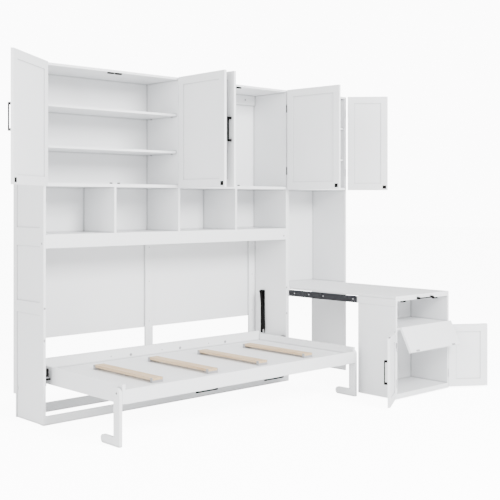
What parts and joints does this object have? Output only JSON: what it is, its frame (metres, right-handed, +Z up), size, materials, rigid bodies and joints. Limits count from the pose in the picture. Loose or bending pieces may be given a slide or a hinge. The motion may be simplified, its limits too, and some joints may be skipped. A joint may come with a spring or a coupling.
{
  "type": "wall bed with pull-out desk",
  "caption": "Wall bed in a white cabinet with a hutch of framed doors and open cubbies, a fold-down deck on legs, and a side bay with a pull-out desk on castors.",
  "frame": {"origin": "on the floor, at the middle of the bed cabinet's plinth rail, in its width and its thickness", "axes": "+X to the right along the wall, +Y to the wall, +Z up"},
  "size_m": [3.3699, 1.659, 2.275],
  "materials": {
    "white_board": "satin white paint on board",
    "black_metal": "satin black",
    "slide_steel": "dark grey zinc",
    "rod_steel": "polished rod",
    "slat_wood": "plain sanded pine",
    "grey_plastic": "matt grey",
    "wheel_plastic": "matt black"
  },
  "bodies": {
    "case": {"bed_left_side": "white_board", "bed_right_side": "white_board", "bay_left_side": "white_board", "bay_right_side": "white_board", "bed_hutch_sides": "white_board", "bay_hutch_sides": "white_board", "hutch_top_boards": "white_board", "hutch_base_board": "white_board", "hutch_door_shelves": "white_board", "hutch_dividers": "white_board", "upper_shelves": "white_board", "back_panels": "white_board", "hutch_catches": "black_metal", "header_rail": "white_board", "bed_back_frame": "white_board", "floor_rails": "white_board", "desk_shelf": "white_board", "wall_rail": "white_board", "hutch_hinges": "rod_steel", "bed_side_plates": "black_metal", "desk_slide_channels": "slide_steel"},
    "door_1": {"door_1": "white_board", "door_1_handle": "black_metal"},
    "door_2": {"door_2": "white_board", "door_2_handle": "black_metal"},
    "door_3": {"door_3": "white_board", "door_3_handle": "black_metal"},
    "door_4": {"door_4": "white_board", "door_4_handle": "black_metal"},
    "door_5": {"door_5": "white_board", "door_5_handle": "black_metal"},
    "door_6": {"door_6": "white_board", "door_6_handle": "black_metal"},
    "deck": {"deck_panel": "white_board", "deck_side_boards": "white_board", "deck_end_rails": "white_board", "deck_slats": "slat_wood", "slat_holders": "grey_plastic", "deck_handles": "black_metal", "deck_pivot_pins": "black_metal"},
    "leg_left": {"leg_left": "white_board"},
    "leg_right": {"leg_right": "white_board"},
    "strut_tubes": {"strut_tubes": "black_metal"},
    "strut_rods": {"strut_rods": "rod_steel"},
    "rear_leaf": {"rear_leaf": "white_board"},
    "front_leaf": {"front_leaf": "white_board"},
    "chest": {"chest_sides": "white_board", "chest_boards": "white_board", "chest_back_panel": "white_board", "chest_fittings": "black_metal", "castor_brackets": "black_metal"},
    "chest_flap": {"chest_flap": "white_board"},
    "chest_left_door": {"chest_left_door": "white_board", "chest_left_handle": "black_metal"},
    "chest_right_door": {"chest_right_door": "white_board", "chest_right_handle": "black_metal"},
    "front_wheels": {"front_wheels": "wheel_plastic"},
    "rear_wheels": {"rear_wheels": "wheel_plastic"},
    "slide_rear_members": {"slide_rear_members": "slide_steel"},
    "slide_front_members": {"slide_front_members": "slide_steel"}
  },
  "joints": [
    {"name": "door_1_hinge", "type": "hinge", "parent": "case", "child": "door_1", "pos_m": [-1.038, -0.0295, 1.887], "axis": [0, 0, -1], "range_deg": [-140, 0]},
    {"name": "door_2_hinge", "type": "hinge", "parent": "case", "child": "door_2", "pos_m": [-0.002, -0.0295, 1.887], "axis": [0, 0, 1], "range_deg": [-89, 0]},
    {"name": "door_3_hinge", "type": "hinge", "parent": "case", "child": "door_3", "pos_m": [0.002, -0.0295, 1.887], "axis": [0, 0, -1], "range_deg": [-84, 0]},
    {"name": "door_4_hinge", "type": "hinge", "parent": "case", "child": "door_4", "pos_m": [1.038, -0.0295, 1.887], "axis": [0, 0, 1], "range_deg": [-95, 0]},
    {"name": "door_5_hinge", "type": "hinge", "parent": "case", "child": "door_5", "pos_m": [1.042, -0.0295, 1.887], "axis": [0, 0, -1], "range_deg": [-70, 0]},
    {"name": "door_6_hinge", "type": "hinge", "parent": "case", "child": "door_6", "pos_m": [1.708, -0.0295, 1.887], "axis": [0, 0, 1], "range_deg": [-132, 0]},
    {"name": "deck_fold", "type": "hinge", "parent": "case", "child": "deck", "pos_m": [0, 0.027, 0.281], "axis": [-1, 0, 0], "range_deg": [0, 90]},
    {"name": "leg_left_fold", "type": "hinge", "parent": "deck", "child": "leg_left", "pos_m": [-0.985, -0.7615, 0.306], "axis": [1, 0, 0], "range_deg": [0, 90]},
    {"name": "leg_right_fold", "type": "hinge", "parent": "deck", "child": "leg_right", "pos_m": [0.985, -0.7615, 0.306], "axis": [1, 0, 0], "range_deg": [0, 90]},
    {"name": "strut_swing", "type": "hinge", "parent": "case", "child": "strut_tubes", "pos_m": [0, 0.26, 0.685], "axis": [-1, 0, 0], "range_deg": [0, 14]},
    {"name": "strut_stroke", "type": "slide", "parent": "strut_tubes", "child": "strut_rods", "axis": [0, -0.0933, -0.9956], "range_m": [0, 0.262]},
    {"name": "rear_leaf_fold", "type": "hinge", "parent": "case", "child": "rear_leaf", "pos_m": [1.375, -0.0104, 0.734], "axis": [-1, 0, 0], "range_deg": [0, 90]},
    {"name": "front_leaf_fold", "type": "hinge", "parent": "rear_leaf", "child": "front_leaf", "pos_m": [1.375, -0.5525, 0.7158], "axis": [1, 0, 0], "range_deg": [0, 180]},
    {"name": "chest_slide", "type": "slide", "parent": "case", "child": "chest", "axis": [0, 1, 0], "range_m": [0, 0.25]},
    {"name": "slide_rear_stroke", "type": "slide", "parent": "case", "child": "slide_rear_members", "axis": [0, 1, 0], "range_m": [0, 0.084]},
    {"name": "slide_front_stroke", "type": "slide", "parent": "case", "child": "slide_front_members", "axis": [0, 1, 0], "range_m": [0, 0.167]},
    {"name": "flap_hinge", "type": "hinge", "parent": "chest", "child": "chest_flap", "pos_m": [1.375, -1.1145, 0.51], "axis": [1, 0, 0], "range_deg": [-152, 0]},
    {"name": "chest_left_hinge", "type": "hinge", "parent": "chest", "child": "chest_left_door", "pos_m": [1.069, -1.0965, 0.249], "axis": [0, 0, -1], "range_deg": [-60, 0]},
    {"name": "chest_right_hinge", "type": "hinge", "parent": "chest", "child": "chest_right_door", "pos_m": [1.681, -1.0965, 0.249], "axis": [0, 0, 1], "range_deg": [-57, 0]},
    {"name": "front_wheel_spin", "type": "hinge", "parent": "chest", "child": "front_wheels", "pos_m": [1.375, -1.057, 0.0125], "axis": [-1, 0, 0], "continuous": true},
    {"name": "rear_wheel_spin", "type": "hinge", "parent": "chest", "child": "rear_wheels", "pos_m": [1.375, -0.774, 0.0125], "axis": [-1, 0, 0], "continuous": true}
  ],
  "couplings": [
    {"joint": "strut_swing", "follows": "deck_fold", "ratio": 0.14661},
    {"joint": "strut_stroke", "follows": "deck_fold", "m_per_rad": 0.16577},
    {"joint": "front_leaf_fold", "follows": "rear_leaf_fold", "ratio": 2},
    {"joint": "slide_rear_stroke", "follows": "chest_slide", "ratio": 0.33333},
    {"joint": "slide_front_stroke", "follows": "chest_slide", "ratio": 0.66667},
    {"joint": "front_wheel_spin", "follows": "chest_slide", "rad_per_m": 80},
    {"joint": "rear_wheel_spin", "follows": "chest_slide", "rad_per_m": 80}
  ]
}
